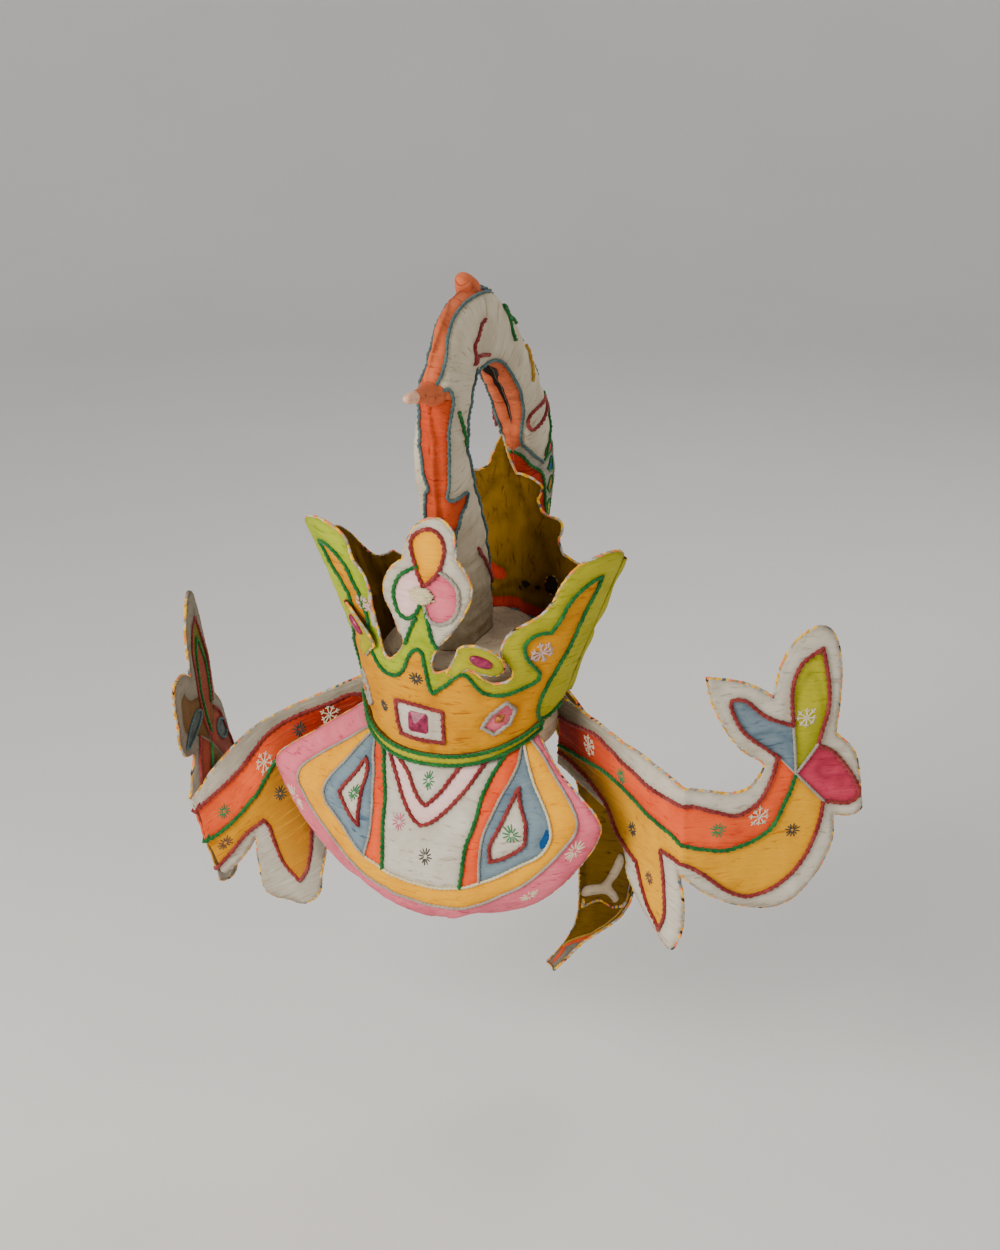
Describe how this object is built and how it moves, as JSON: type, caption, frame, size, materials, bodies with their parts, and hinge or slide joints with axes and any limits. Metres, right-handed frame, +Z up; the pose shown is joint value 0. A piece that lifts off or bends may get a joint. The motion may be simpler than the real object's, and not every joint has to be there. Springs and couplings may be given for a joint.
{
  "type": "carnival headdress",
  "caption": "Worn carnival headdress of painted cloth-covered card: winged crown with trefoil, padded arch above, bib below the brow, fish-tail side flaps and a rear tail",
  "frame": {"origin": "middle of the head opening, level with the crown's lower edge at the brow", "axes": "+Z up, -Y the way the wearer's face looks, +X on the right of someone facing it"},
  "size_m": [0.7101, 0.3327, 0.804],
  "materials": {
    "cap_cloth": "matt grey cloth",
    "crown_card": "painted cloth over card, with couched cords",
    "olive_card": "creased olive cloth over card",
    "green_card": "painted cloth over card",
    "ruby": "dark red cut stone",
    "amber": "amber cut stone",
    "bib_card": "painted cloth over card, with couched cords",
    "arm_card": "painted cloth over card, with couched cords",
    "arch_cloth": "wrinkled white cloth over stuffing"
  },
  "bodies": {
    "root": {"head_cap": "cap_cloth", "crown_front": "crown_card", "crown_back": "olive_card", "brow_band": "green_card", "leaf_left": "green_card", "leaf_right": "green_card", "oval_ruby_left": "ruby", "oval_ruby_right": "ruby", "square_ruby": "ruby", "amber_left": "amber", "amber_right": "amber", "bib": "bib_card", "arm_left": "arm_card", "arm_right": "arm_card", "padded_arch": "arch_cloth", "rear_tail": "arm_card", "rear_tail_facing": "olive_card"}
  },
  "joints": []
}
